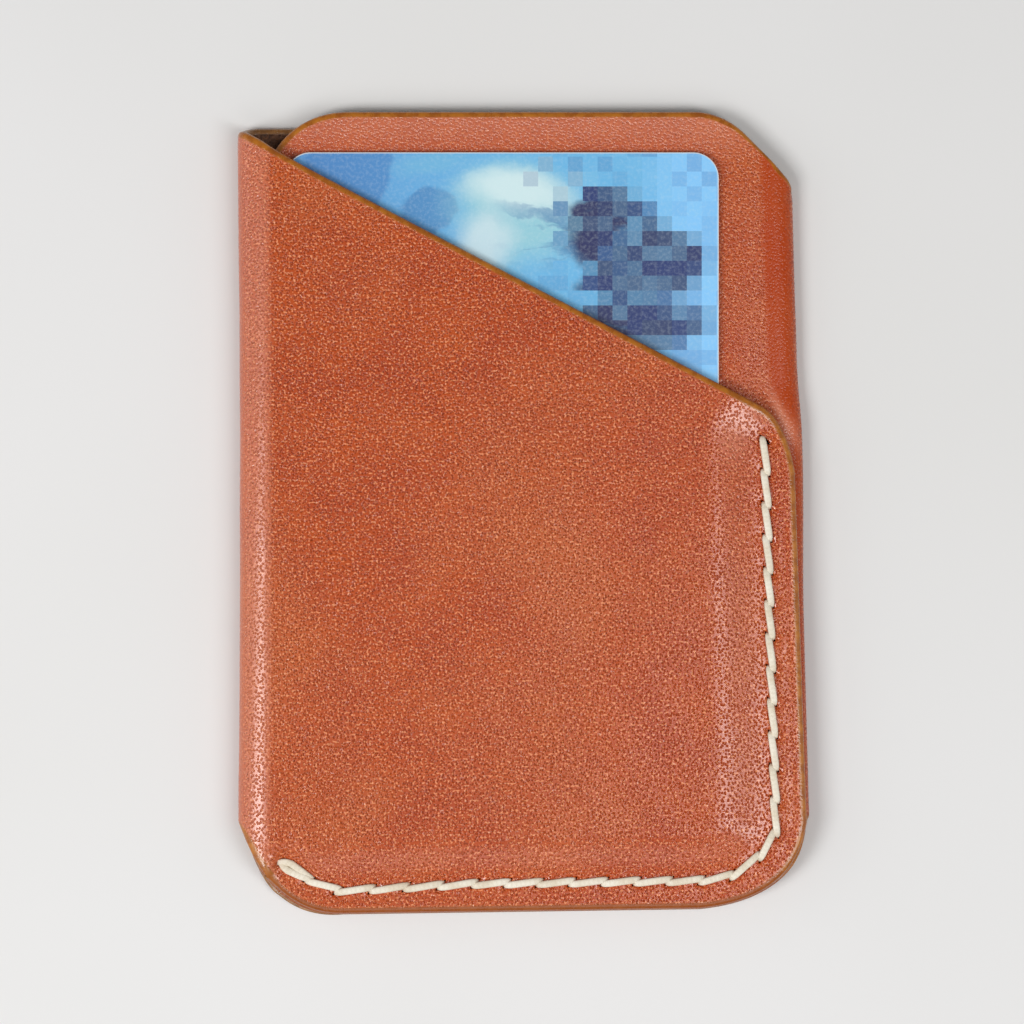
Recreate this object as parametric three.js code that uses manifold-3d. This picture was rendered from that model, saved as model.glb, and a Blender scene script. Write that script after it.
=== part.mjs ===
// Leather card holder with one card in it.
// One cut of leather is rolled into three layers (front, middle, back) round a fold on each side,
// and sewn through all three along the right side and the bottom.
// Millimetres. +X is to the right, +Y is up the card, +Z points out of the front.
// It lies on its back on z = 0, with the origin under the middle of its outline.
import * as THREE from 'three';
import { mergeVertices } from 'three/addons/utils/BufferGeometryUtils.js';
import Module from 'manifold-3d';

const wasm = await Module();
wasm.setup();

// Driving dimensions
const LEATHER = 1.3; // thickness of the leather
const CARD_WIDTH = 53.98; // a standard bank card
const CARD_HEIGHT = 85.6;
const CARD_THICKNESS = 0.76;
const CARD_CORNER = 3.18;
const CARD_LEFT = -29.65;
const CARD_FOOT = -40.65;
const REAR_POCKET = 0.8; // gap between back and middle
const FRONT_POCKET = 1.0; // gap between middle and front
const SEWN_GAP = 0.05; // what is left of each gap where the layers are sewn together
const LEFT_SIDE = -35.65; // outside of the left fold
const RIGHT_SIDE = 34.74; // outside of the right fold at y = 0
const RIGHT_LEAN = 0.0268; // how far the right fold moves out for each millimetre down
const RIGHT_SWELL = 0.4; // the flattened fold swells out beside the first stitches
const BOTTOM_RIGHT = -49.1; // the front's bottom edge at its right end
const BOTTOM_LEFT = -49.75; // and at its left end
const LAYER_STEP = 0.18; // each layer under the front stands out this much further at the bottom
const MIDDLE_TOP = 50.1;
const BACK_TOP = 48.15;
const CORNER_TOP = -38.3; // height at which the lower right corner starts to round
const LEFT_CORNER_TOP = -38.9; // and the lower left one
const MIDDLE_LOOSE_EDGE = -33; // the middle layer's free edge, inside the left fold
const THREAD = 0.72; // diameter of the waxed thread
const STITCH_LEAN = 0.3; // how far a stitch's ends lie off the line of holes
const SLIT = { length: 1.35, width: 0.62, turn: Math.PI / 4 };
const CUT = 0.02; // half the hairline between two lengths of the same leather

// Heights of the layers, from the bottom up
const MIDDLE_Z = LEATHER + REAR_POCKET;
const FRONT_Z = MIDDLE_Z + LEATHER + FRONT_POCKET;
const HEIGHT = FRONT_Z + LEATHER;
const LEFT_RADIUS = HEIGHT / 2;
const RIGHT_RADIUS = (MIDDLE_Z + LEATHER) / 2;
const BACK_RISE = REAR_POCKET - SEWN_GAP;
const FRONT_DROP = FRONT_POCKET - SEWN_GAP;
const LEFT_AXIS = LEFT_SIDE + LEFT_RADIUS;

// The flat fields of the front and back end here, and their borders bend towards the seam
const FIELD_RIGHT = 25.3;
const FIELD_FOOT = -41;

// The line of the seam: down the right side, round the corner and along the bottom.
// holes is how many stitch holes a stretch has after its first point,
// reach is how far from the seam the leather starts to bend towards it.
const SEAM_START = [30, 9.2];
const SEAM = [
  { to: [31.4, -39.7], holes: 12, reach: 4.6 },
  { to: [29.4, -42.6], holes: 1, reach: 3.6 },
  { to: [26, -45], holes: 1, reach: 3.6 },
  { to: [22.2, -45.6], holes: 1, reach: 4.6 },
  { to: [-6, -46], holes: 7, reach: 4.6 },
  { to: [-23, -46.9], holes: 4, reach: 4.6 },
  { to: [-26.6, -45.5], holes: 1, reach: 3 },
  { to: [-30.1, -43.3], holes: 1, reach: 3 },
];
const FLAT_SHARE = 0.12; // share of the reach next to the seam that is pressed flat
const START_RELEASE = 0.7; // the press lets go this much faster above the first hole
const END_RELEASE = 2; // and past the last one
const FOLD_RELEASE = 2.5; // width beside the left fold over which the press lets go of it

const LEATHER_TAN = { color: 0xb4562d, roughness: 0.6, metalness: 0 };
const THREAD_CREAM = { color: 0xdcc4ab, roughness: 0.7, metalness: 0 };
const CARD_BLUE = { color: 0x6ea8d4, roughness: 0.3, metalness: 0 };

// ---------------------------------------------------------------- solids

function solidOf(geometry) {
  const bare = geometry.clone();
  bare.deleteAttribute('normal');
  bare.deleteAttribute('uv');
  const merged = mergeVertices(bare, 1e-4);
  return new wasm.Manifold(new wasm.Mesh({
    numProp: 3,
    vertProperties: Float32Array.from(merged.attributes.position.array),
    triVerts: Uint32Array.from(merged.index.array),
  }));
}

function geometryOf(solid) {
  const mesh = solid.getMesh();
  const geometry = new THREE.BufferGeometry();
  geometry.setAttribute('position', new THREE.BufferAttribute(mesh.vertProperties, 3));
  geometry.setIndex(new THREE.BufferAttribute(mesh.triVerts, 1));
  geometry.computeVertexNormals();
  return geometry;
}

function named(name, geometry, look) {
  const mesh = new THREE.Mesh(geometry, new THREE.MeshStandardMaterial(look));
  mesh.name = name;
  return mesh;
}

// A tall prism over an outline, used to cut the layers to shape.
function prism(outline) {
  const over = 1;
  const geometry = new THREE.ExtrudeGeometry(outline, {
    depth: HEIGHT + 2 * over,
    bevelEnabled: false,
    curveSegments: 9,
  });
  geometry.translate(0, 0, -over);
  return solidOf(geometry);
}

// A box of leather with its own grid lines, each vertex moved by place([column, row, level]).
function grid(columns, rows, place) {
  const geometry = new THREE.BoxGeometry(1, 1, 1, columns.length - 1, rows.length - 1, 1);
  const position = geometry.attributes.position;
  for (let i = 0; i < position.count; i++) {
    const column = Math.round((position.getX(i) + 0.5) * (columns.length - 1));
    const row = Math.round((position.getY(i) + 0.5) * (rows.length - 1));
    const upper = position.getZ(i) > 0;
    position.setXYZ(i, ...place(columns[column], rows[row], upper));
  }
  return solidOf(geometry);
}

function steps(from, to, count) {
  return Array.from({ length: count + 1 }, (_, i) => from + ((to - from) * i) / count);
}

// ---------------------------------------------------------------- the seam and what it does

// Each straight stretch of the seam, with its direction.
function seamStretches() {
  let start = SEAM_START;
  return SEAM.map(({ to, holes, reach }) => {
    const [ax, ay] = start;
    const length = Math.hypot(to[0] - ax, to[1] - ay);
    const direction = [(to[0] - ax) / length, (to[1] - ay) / length];
    start = to;
    return { ax, ay, length, direction, holes, reach };
  });
}
const STRETCHES = seamStretches();

// How far the layers are pressed together at a place: 1 at the seam and outside it, 0 in the pocket.
function press(x, y) {
  let nearest = Infinity;
  STRETCHES.forEach(({ ax, ay, length, direction, reach }, i) => {
    const [dx, dy] = direction;
    const along = (x - ax) * dx + (y - ay) * dy;
    const inwards = (x - ax) * dy - (y - ay) * dx;
    const before = -along * (i === 0 ? START_RELEASE : 1);
    const after = (along - length) * (i === STRETCHES.length - 1 ? END_RELEASE : 1);
    const past = Math.max(before, after, 0);
    nearest = Math.min(nearest, Math.hypot(Math.max(inwards, 0), past) / reach);
  });
  const beside = THREE.MathUtils.smoothstep(x, LEFT_AXIS, LEFT_AXIS + FOLD_RELEASE);
  return beside * (1 - THREE.MathUtils.smoothstep(nearest, FLAT_SHARE, 1));
}

// The stitch holes in order, with the direction of the seam at each.
function stitchHoles() {
  const holes = [{ at: SEAM_START, direction: STRETCHES[0].direction }];
  STRETCHES.forEach(({ ax, ay, length, direction, holes: count }) => {
    for (let i = 1; i <= count; i++) {
      const along = (length * i) / count;
      holes.push({ at: [ax + direction[0] * along, ay + direction[1] * along], direction });
    }
  });
  return holes;
}
const HOLES = stitchHoles();

function slits() {
  return wasm.Manifold.union(HOLES.map(({ at, direction }) => {
    const slit = new THREE.BoxGeometry(SLIT.length, SLIT.width, 3 * HEIGHT);
    slit.rotateZ(Math.atan2(direction[1], direction[0]) + SLIT.turn);
    slit.translate(at[0], at[1], 0);
    return solidOf(slit);
  }));
}
const SLITS = slits();

// ---------------------------------------------------------------- the folds

function foldSide(y) {
  const { smoothstep } = THREE.MathUtils;
  const swell = RIGHT_SWELL * (1 - smoothstep(y, 9, 20)) * smoothstep(y, -13, 7);
  return RIGHT_SIDE - RIGHT_LEAN * y + swell;
}

const foldRadius = (y) => RIGHT_RADIUS - (BACK_RISE / 2) * press(foldSide(y) - RIGHT_RADIUS, y);
const foldAxis = (y) => foldSide(y) - foldRadius(y);
const FOLD_ROWS = [-51, -46, ...steps(-43, 9.2, 6), ...steps(9.8, 11.8, 4), 20, 30, 44];

// The right fold's outside, from just under `top` down to the lower corner.
function alongFold(outline, top) {
  FOLD_ROWS.filter((y) => y < top && y > CORNER_TOP)
    .sort((a, b) => b - a)
    .forEach((y) => outline.lineTo(foldSide(y), y));
}

// A strip of leather bent round an axis that runs up Y, from angle `from` to angle `to`.
function bent(rows, from, to, axisX, axisZ, radius) {
  const bends = 8;
  return grid(steps(from, to, bends), rows, (angle, y, upper) => {
    const r = upper ? radius(y) : radius(y) - LEATHER;
    return [axisX(y) + r * Math.cos(angle), y, axisZ(y) + r * Math.sin(angle)];
  });
}

// ---------------------------------------------------------------- outlines

// The bottom edge with its two rounded corners, from the right side to the left one.
// step is how far this layer stands out beyond the front's bottom edge.
function roundBottom(outline, right, step) {
  outline.lineTo(right, CORNER_TOP);
  outline.quadraticCurveTo(right - 1.3, -47.9 - step, 22, BOTTOM_RIGHT - step);
  outline.lineTo(-22.5, BOTTOM_LEFT - step);
  outline.quadraticCurveTo(-30.8 - 3 * step, -49.9 - 3 * step, LEFT_SIDE, LEFT_CORNER_TOP);
}

// Front: its mouth runs down in a straight diagonal from the left fold to the right edge.
function frontOutline() {
  const outline = new THREE.Shape();
  const past = 3;
  outline.moveTo(LEFT_SIDE - past, 47.8);
  outline.lineTo(LEFT_SIDE, 47.7);
  outline.quadraticCurveTo(-33, 46.9, -29.3, 44.25);
  outline.lineTo(29.6, 13.35);
  outline.quadraticCurveTo(32.8, 11.5, 33.8, 5);
  roundBottom(outline, 35.25, 0);
  outline.lineTo(LEFT_SIDE - past, LEFT_CORNER_TOP);
  return outline;
}

// Middle: tall, with a rounded corner on the left and a cut-off corner on the right.
function middleOutline() {
  const outline = new THREE.Shape();
  outline.moveTo(MIDDLE_LOOSE_EDGE, 41.8);
  outline.lineTo(-30.9, 45.4);
  outline.quadraticCurveTo(-27.7, 50, -21.9, MIDDLE_TOP);
  outline.lineTo(21.9, MIDDLE_TOP);
  outline.quadraticCurveTo(25.4, 49.7, 27.9, 47.1);
  outline.lineTo(33, 42);
  outline.quadraticCurveTo(33.8, 41.2, foldSide(39.5), 39.5);
  alongFold(outline, 39.5);
  roundBottom(outline, foldSide(CORNER_TOP), LAYER_STEP);
  return outline;
}

// Back: a straight top edge a little lower than the middle's, and the same cut-off corner.
function backOutline() {
  const outline = new THREE.Shape();
  const past = 3;
  outline.moveTo(LEFT_SIDE - past, BACK_TOP);
  outline.lineTo(22, BACK_TOP);
  outline.quadraticCurveTo(25.5, 47.9, 27.8, 46.1);
  outline.lineTo(32.7, 41.6);
  outline.quadraticCurveTo(33.7, 40.7, foldSide(39), 39);
  alongFold(outline, 39);
  roundBottom(outline, foldSide(CORNER_TOP), 2 * LAYER_STEP);
  outline.lineTo(LEFT_SIDE - past, LEFT_CORNER_TOP);
  return outline;
}

// Everything to the left of the line where the right fold begins.
function leftOfFold() {
  const outline = new THREE.Shape();
  const far = 60;
  outline.moveTo(-far, -far);
  FOLD_ROWS.forEach((y) => outline.lineTo(foldAxis(y) - CUT, y));
  outline.lineTo(foldAxis(FOLD_ROWS.at(-1)) - CUT, far);
  outline.lineTo(-far, far);
  return outline;
}

// ---------------------------------------------------------------- layers of leather

const SIDE_COLUMNS = [FIELD_RIGHT + CUT, 26.2, 27, 27.8, 28.6, 29.4, 30.2, 36];
const SIDE_ROWS = [
  ...steps(-50.5, -39.7, 9), -30, -20, -10, 0, ...steps(9.2, 11.6, 4), 15, 30, 50,
];
const FOOT_COLUMNS = [
  LEFT_AXIS + CUT, -32.1, -31.5, -30.9, -30.1, -28.8, -27.6, -26.6, -25, -23, -6, 22, FIELD_RIGHT - CUT,
];
const FOOT_ROWS = [-50.5, ...steps(-47, FIELD_FOOT - CUT, 7)];

// Length of leather between grid lines, its lower face at bottom(x, y).
function layer(columns, rows, bottom) {
  return grid(columns, rows, (x, y, upper) => [x, y, bottom(x, y) + (upper ? LEATHER : 0)]);
}

function field(bottom) {
  return layer([LEFT_AXIS + CUT, FIELD_RIGHT - CUT], [FIELD_FOOT + CUT, 52], bottom);
}

function frontPieces() {
  const cutter = prism(frontOutline());
  const bottom = (x, y) => FRONT_Z - FRONT_DROP * press(x, y);
  const side = layer(SIDE_COLUMNS, SIDE_ROWS, bottom);
  const foot = layer(FOOT_COLUMNS, FOOT_ROWS, bottom);
  return {
    front_panel: field(bottom).intersect(cutter),
    front_side_border: side.intersect(cutter).subtract(SLITS),
    front_bottom_border: foot.intersect(cutter).subtract(SLITS),
    left_fold_front: leftFold(Math.PI, Math.PI / 2).intersect(cutter),
  };
}

function backPieces() {
  const cutter = prism(backOutline());
  const panel = cutter.intersect(prism(leftOfFold()));
  const bottom = (x, y) => BACK_RISE * press(x, y);
  const side = layer(SIDE_COLUMNS, SIDE_ROWS, bottom);
  const foot = layer(FOOT_COLUMNS, FOOT_ROWS, bottom);
  return {
    back_panel: field(bottom).intersect(panel),
    back_side_border: side.intersect(panel).subtract(SLITS),
    back_bottom_border: foot.intersect(panel).subtract(SLITS),
    left_fold_back: leftFold(Math.PI * 1.5, Math.PI).intersect(cutter),
  };
}

function middlePanel() {
  const sheet = layer([MIDDLE_LOOSE_EDGE, 36], [-51, 51], () => MIDDLE_Z);
  return sheet
    .intersect(prism(middleOutline()))
    .intersect(prism(leftOfFold()))
    .subtract(SLITS);
}

// A quarter of the wide left fold, which joins the front to the back.
function leftFold(from, to) {
  const hairline = CUT / LEFT_RADIUS;
  const radius = () => LEFT_RADIUS;
  return bent([-48, 50], from - hairline, to + hairline, () => LEFT_AXIS, radius, radius);
}

// The tight right fold, which joins the back to the middle.
function rightFold() {
  const middleTop = MIDDLE_Z + LEATHER;
  return bent(
    FOLD_ROWS,
    Math.PI / 2,
    -Math.PI / 2,
    foldAxis,
    (y) => middleTop - foldRadius(y),
    foldRadius,
  ).intersect(prism(middleOutline()));
}

// ---------------------------------------------------------------- thread and card

// One stitch lying on the leather, from one point to the next.
function stitch(from, to, z) {
  const radius = THREAD / 2;
  const length = Math.hypot(to[0] - from[0], to[1] - from[1]);
  const run = new THREE.CapsuleGeometry(radius, length, 2, 6);
  run.rotateZ(Math.atan2(to[1] - from[1], to[0] - from[0]) - Math.PI / 2);
  run.translate((from[0] + to[0]) / 2, (from[1] + to[1]) / 2, z);
  return solidOf(run);
}

// Where the two strands pass each other in a hole.
function crossing({ at, direction }, bottom, top) {
  const half = 0.22;
  const leg = new THREE.CylinderGeometry(half, half, top - bottom, 8);
  leg.scale(2.2, 1, 1);
  leg.rotateX(Math.PI / 2);
  leg.rotateZ(Math.atan2(direction[1], direction[0]) + SLIT.turn);
  leg.translate(at[0], at[1], (top + bottom) / 2);
  return solidOf(leg);
}

// A point beside a hole, `off` to the outside of the seam.
function beside({ at, direction }, off) {
  return [at[0] - direction[1] * off, at[1] + direction[0] * off];
}

function sewingThread() {
  const clear = 0.02;
  const below = BACK_RISE - clear - THREAD / 2;
  const above = FRONT_Z - FRONT_DROP + LEATHER + clear + THREAD / 2;
  const pieces = HOLES.map((hole) => crossing(hole, below, above));
  HOLES.slice(1).forEach((hole, i) => {
    const last = HOLES[i];
    pieces.push(stitch(beside(last, -STITCH_LEAN), beside(hole, STITCH_LEAN), above));
    pieces.push(stitch(beside(last, STITCH_LEAN / 2), beside(hole, -STITCH_LEAN / 2), below));
  });
  // the last stitch is sewn twice, which locks the thread
  const [start, end] = HOLES.slice(-2);
  const apart = THREAD / 2;
  pieces.push(stitch(beside(start, apart), beside(end, apart), above));
  pieces.push(stitch(beside(start, -apart), beside(end, -apart), above));
  return wasm.Manifold.union(pieces);
}

function card() {
  const right = CARD_WIDTH - CARD_CORNER;
  const top = CARD_HEIGHT - CARD_CORNER;
  const outline = new THREE.Shape();
  outline.absarc(CARD_CORNER, CARD_CORNER, CARD_CORNER, Math.PI, Math.PI * 1.5);
  outline.absarc(right, CARD_CORNER, CARD_CORNER, Math.PI * 1.5, Math.PI * 2);
  outline.absarc(right, top, CARD_CORNER, 0, Math.PI / 2);
  outline.absarc(CARD_CORNER, top, CARD_CORNER, Math.PI / 2, Math.PI);
  return new THREE.ExtrudeGeometry(outline, {
    depth: CARD_THICKNESS,
    bevelEnabled: false,
    curveSegments: 6,
  });
}

// ---------------------------------------------------------------- the assembly

const holder = new THREE.Group();

const leather = new THREE.Group();
const leatherPieces = {
  ...backPieces(),
  right_fold: rightFold(),
  middle_panel: middlePanel(),
  ...frontPieces(),
};
for (const [name, solid] of Object.entries(leatherPieces)) {
  leather.add(named(name, geometryOf(solid), LEATHER_TAN));
}
holder.add(leather);
holder.add(named('sewing_thread', geometryOf(sewingThread()), THREAD_CREAM));

const bankCard = named('card', card(), CARD_BLUE);
bankCard.position.set(
  CARD_LEFT,
  CARD_FOOT,
  MIDDLE_Z + LEATHER + (FRONT_POCKET - CARD_THICKNESS) / 2,
);
holder.add(bankCard);

export default holder;
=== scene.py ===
import math

import bmesh
import bpy
import numpy as np
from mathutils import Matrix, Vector
from mathutils.geometry import delaunay_2d_cdt
from mathutils.kdtree import KDTree


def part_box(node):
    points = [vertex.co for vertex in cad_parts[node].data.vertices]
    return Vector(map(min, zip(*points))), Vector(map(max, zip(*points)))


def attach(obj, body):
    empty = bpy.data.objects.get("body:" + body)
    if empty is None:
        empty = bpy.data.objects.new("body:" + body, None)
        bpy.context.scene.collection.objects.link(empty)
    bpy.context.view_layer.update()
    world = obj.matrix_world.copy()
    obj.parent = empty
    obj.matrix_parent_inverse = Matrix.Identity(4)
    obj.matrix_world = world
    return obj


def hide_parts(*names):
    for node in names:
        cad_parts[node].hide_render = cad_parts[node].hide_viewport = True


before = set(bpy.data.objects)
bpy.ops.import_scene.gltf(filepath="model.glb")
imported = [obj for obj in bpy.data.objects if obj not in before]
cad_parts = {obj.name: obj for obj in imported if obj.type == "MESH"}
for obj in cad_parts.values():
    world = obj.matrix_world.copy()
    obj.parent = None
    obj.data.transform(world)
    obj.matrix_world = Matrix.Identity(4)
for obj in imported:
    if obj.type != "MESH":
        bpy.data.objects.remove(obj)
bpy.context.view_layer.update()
MM = 0.001  # lengths below are in millimetres until a mesh is made

# ---------------------------------------------------------------- sizes, from model.glb


def node_box(node):
    low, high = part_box(node)
    return [c / MM for c in low], [c / MM for c in high]


CARD_LOW, CARD_HIGH = node_box("card")
MIDDLE_LOW, MIDDLE_HIGH = node_box("middle_panel")
_, FRONT_HIGH = node_box("front_panel")
FOLD_LOW, _ = node_box("left_fold_front")
BORDER_LOW, BORDER_HIGH = node_box("front_side_border")
FOOT_LOW, _ = node_box("front_bottom_border")
_, BACK_HIGH = node_box("back_panel")
_, BACK_BORDER_HIGH = node_box("back_side_border")

LEATHER = MIDDLE_HIGH[2] - MIDDLE_LOW[2]
HEIGHT = FRONT_HIGH[2]
MIDDLE_Z = MIDDLE_LOW[2]
FRONT_Z = HEIGHT - LEATHER
BACK_RISE = BACK_BORDER_HIGH[2] - LEATHER
FRONT_DROP = FRONT_Z - BORDER_LOW[2]
LEFT_SIDE = FOLD_LOW[0]
LEFT_RADIUS = HEIGHT / 2
LEFT_AXIS = LEFT_SIDE + LEFT_RADIUS
RIGHT_RADIUS = MIDDLE_HIGH[2] / 2
MIDDLE_TOP = MIDDLE_HIGH[1]
BOTTOM_LEFT = FOOT_LOW[1]
LAYER_STEP = BOTTOM_LEFT - MIDDLE_LOW[1]  # each layer under the front stands out this much more
FRONT_RIGHT = BORDER_HIGH[0]
BACK_TOP = BACK_HIGH[1]
MIDDLE_LOOSE_EDGE = MIDDLE_LOW[0]

# what model.glb doesn't give, close to the CAD source
BOTTOM_RIGHT = -49.1  # the front's lower edge where it meets the lower right corner
RIGHT_SIDE = 34.74  # the right fold's side at half height
RIGHT_LEAN = 0.0268  # how much it leans in for each millimetre up
RIGHT_SWELL = 0.4  # the flattened fold swells out beside the first stitches
SWELL_RISE = (-13, 7)  # heights between which the swell sets in
SWELL_FALL = (9, 20)  # heights between which it fades out again
CORNER_TOP = 40.3  # where the upper right corner leaves the fold
CORNER_START = -38.3  # where the lower right corner leaves the side
LEFT_CORNER_START = -38.9  # and the lower left corner the left fold
SEAM_START = (30.0, 9.2)
# (end of the stretch, holes after its first point, reach of the press); the reach is wider
# than in the CAD model, as soft leather slopes gently towards a seam
SEAM = [
    ((31.4, -39.7), 12, 7.0),
    ((29.4, -42.6), 1, 6.2),
    ((26.0, -45.0), 1, 6.2),
    ((22.2, -45.6), 1, 6.0),
    ((-6.0, -46.0), 7, 6.0),
    ((-23.0, -46.9), 4, 6.4),
    ((-26.6, -45.5), 1, 4.4),
    ((-30.1, -43.3), 1, 3.4),
]
FLAT_SHARE = 0.12  # share of the reach over which the layers stay quite flat
END_RELEASE = 2.0  # past the last hole the press lets go this much faster
UNSEWN_Y = 30.0  # a height above the seam, where no layer is pressed down
SHOULDER_DROP = 0.30  # how far the middle layer's right side is drawn down above the seam
SHOULDER_HEIGHTS = (46, 14)  # heights between which it comes down
SHOULDER_WIDTH = 7.5
BOW = 0.28  # how far the left fold is drawn in at half height
BOW_END = 44.0  # height above and below which it runs straight
BOW_REACH = (1, 12)  # distances from the left side between which the bow fades out
LEFT_EASE = 1.0  # how far in the upper face is drawn where it rounds over the left fold
RIGHT_EASE = 0.8  # the same at the right fold of the middle layer
EASE_REACH = 9.0  # width over which the easing fades out
HALVINGS = 22
SEARCH = 80.0  # wider than the holder
FOLD_RELEASE = 2.5  # width beside the left fold over which the press lets go of it

# ---------------------------------------------------------------- the seam


def smoothstep(low, high, value):
    t = np.clip((value - low) / (high - low), 0, 1)
    return t * t * (3 - 2 * t)


def seam_stretches():
    stretches = []
    start = np.array(SEAM_START)
    for end, holes, reach in SEAM:
        along = np.array(end) - start
        length = float(np.hypot(*along))
        stretches.append((start, along / length, length, holes, reach))
        start = np.array(end)
    return stretches


STRETCHES = seam_stretches()


def press(x, y):
    """1 where the layers are sewn flat together, 0 in the pocket."""
    nearest = np.full(np.shape(x), 1e9)
    for i, (start, direction, length, _, reach) in enumerate(STRETCHES):
        dx, dy = x - start[0], y - start[1]
        along = dx * direction[0] + dy * direction[1]
        inwards = dx * direction[1] - dy * direction[0]
        after = (along - length) * (END_RELEASE if i == len(STRETCHES) - 1 else 1)
        past = np.maximum(np.maximum(-along, after), 0)
        nearest = np.minimum(nearest, np.hypot(np.maximum(inwards, 0), past) / reach)
    beside = smoothstep(LEFT_AXIS, LEFT_AXIS + FOLD_RELEASE, x)
    return beside * (1 - smoothstep(FLAT_SHARE, 1, nearest))


def stitch_holes():
    """(place, direction of the seam, outward normal) of each hole in order."""
    holes = [(STRETCHES[0][0], STRETCHES[0][1])]
    for start, direction, length, count, _ in STRETCHES:
        for i in range(1, count + 1):
            holes.append((start + direction * length * i / count, direction))
    # at a corner the slit follows the mean direction of the two stretches
    turned = []
    for i, (at, direction) in enumerate(holes):
        after = holes[min(i + 1, len(holes) - 1)][1]
        mean = direction + after
        mean = mean / np.hypot(*mean)
        turned.append((at, mean, np.array([-mean[1], mean[0]])))
    return turned


HOLES = stitch_holes()
SLIT_HALF = 0.92
SLIT_HALF_WIDTH = 0.24
SLIT_POINTS = 12


def slit_direction(hole):
    _, along, out = hole
    return (along + out) / math.sqrt(2)


# ---------------------------------------------------------------- the rolled sheet

LEFT_ARC = math.pi * (LEFT_RADIUS - LEATHER / 2)
RIGHT_ARC = math.pi * (RIGHT_RADIUS - LEATHER / 2)


def fold_side(y):
    swell = RIGHT_SWELL * (1 - smoothstep(*SWELL_FALL, y)) * smoothstep(*SWELL_RISE, y)
    return RIGHT_SIDE - RIGHT_LEAN * y + swell


def fold_press(y):
    return press(fold_side(y) - RIGHT_RADIUS, y)


def shoulder(y):
    """How far the middle layer's right side is drawn down above the seam."""
    return SHOULDER_DROP * smoothstep(*SHOULDER_HEIGHTS, y) * (1 - fold_press(y))


def fold_radius(y):
    return RIGHT_RADIUS - BACK_RISE / 2 * fold_press(y) - shoulder(y) / 2


def fold_axis(y):
    return fold_side(y) - fold_radius(y)


def bow(y):
    """How far the left fold is drawn in."""
    return BOW * np.clip(1 - (y / BOW_END) ** 2, 0, 1)


def left_ease(x):
    """The upper face rounds over early at the left fold, so a point there lies further in."""
    near = smoothstep(LEFT_SIDE + LEATHER / 2, LEFT_AXIS, x)
    return x + LEFT_EASE * near * (1 - smoothstep(LEFT_AXIS, LEFT_AXIS + EASE_REACH, x))


def right_ease(x, y):
    """As left_ease, at the right fold of the middle layer."""
    axis = fold_axis(y)
    near = smoothstep(axis + fold_radius(y) - LEATHER / 2, axis, x)
    return x - RIGHT_EASE * near * (1 - smoothstep(axis, axis - EASE_REACH, x))


def solve(falling, value, low, high):
    """Where a falling function reaches the value, by halving."""
    low = np.full(np.shape(value), low)
    high = np.full(np.shape(value), high)
    for _ in range(HALVINGS):
        half = (low + high) / 2
        passed = falling(half) < value
        low = np.where(passed, low, half)
        high = np.where(passed, half, high)
    return (low + high) / 2


def past_right_fold(y):
    """Where on the blank the right fold ends and the flat of the middle layer starts."""
    return LEFT_ARC + fold_axis(y) - LEFT_AXIS + RIGHT_ARC


def face_x(u, y):
    """Where a point of the grain face lies across the holder."""
    return roll(u, y)[..., 0] + outward(u, y)[..., 0] * LEATHER / 2


def front_u(x):
    """Where on the blank a point of the front lies; its left side is taken as straight."""
    straight = np.full(np.shape(x), BOW_END)
    return solve(lambda u: face_x(u, straight), np.asarray(x), -SEARCH, LEFT_ARC / 2)


def back_u(x, y):
    left = np.arcsin(np.clip((LEFT_AXIS - x) / LEFT_RADIUS, 0, 1))
    right = np.arcsin(np.clip((x - fold_axis(y)) / fold_radius(y), 0, 1))
    flat = LEFT_ARC + np.minimum(x, fold_axis(y)) - LEFT_AXIS
    bent = RIGHT_ARC * right / math.pi
    return np.where(x < LEFT_AXIS, LEFT_ARC * (1 - left / math.pi), flat + bent)


def middle_u(x, y):
    start = past_right_fold(y)
    return start + solve(lambda u: face_x(start + u, y), np.asarray(x), -RIGHT_ARC / 2, SEARCH)


def roll(u, y):
    """Where a point of the flat blank lies once it is rolled up, halfway through the leather."""
    axis = fold_axis(y)
    radius = fold_radius(y) - LEATHER / 2
    at_fold = LEFT_ARC + axis - LEFT_AXIS
    past_fold = at_fold + RIGHT_ARC

    # front
    front_x = left_ease(LEFT_AXIS - u)
    front_z = FRONT_Z + LEATHER / 2 - FRONT_DROP * press(front_x, y)
    # left fold
    left_r = LEFT_RADIUS - LEATHER / 2
    left_turn = math.pi * u / LEFT_ARC
    left_x = LEFT_AXIS - left_r * np.sin(left_turn)
    left_x = np.where(left_turn < math.pi / 2, left_ease(left_x), left_x)
    # back
    back_x = LEFT_AXIS + u - LEFT_ARC
    back_z = LEATHER / 2 + BACK_RISE * press(back_x, y)
    # right fold
    right_turn = math.pi * (u - at_fold) / RIGHT_ARC
    right_x = axis + radius * np.sin(right_turn)
    right_x = np.where(right_turn > math.pi / 2, right_ease(right_x, y), right_x)
    fold_top = MIDDLE_Z + LEATHER - shoulder(y)
    # middle
    middle_x = right_ease(axis - (u - past_fold), y)
    drawn = smoothstep(axis - SHOULDER_WIDTH, axis, middle_x) * shoulder(y)
    middle_z = MIDDLE_Z + LEATHER / 2 - drawn

    where = [u < 0, u < LEFT_ARC, u < at_fold, u < past_fold]
    x = np.select(where, [front_x, left_x, back_x, right_x], middle_x)
    z = np.select(
        where,
        [
            front_z,
            LEFT_RADIUS + left_r * np.cos(left_turn),
            back_z,
            fold_top - fold_radius(y) - radius * np.cos(right_turn),
        ],
        middle_z,
    )
    near_left = 1 - smoothstep(LEFT_SIDE + BOW_REACH[0], LEFT_SIDE + BOW_REACH[1], x)
    x = x + bow(y) * np.where(u < at_fold, near_left, 0)
    return np.stack([x, y, z], axis=-1)


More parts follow.
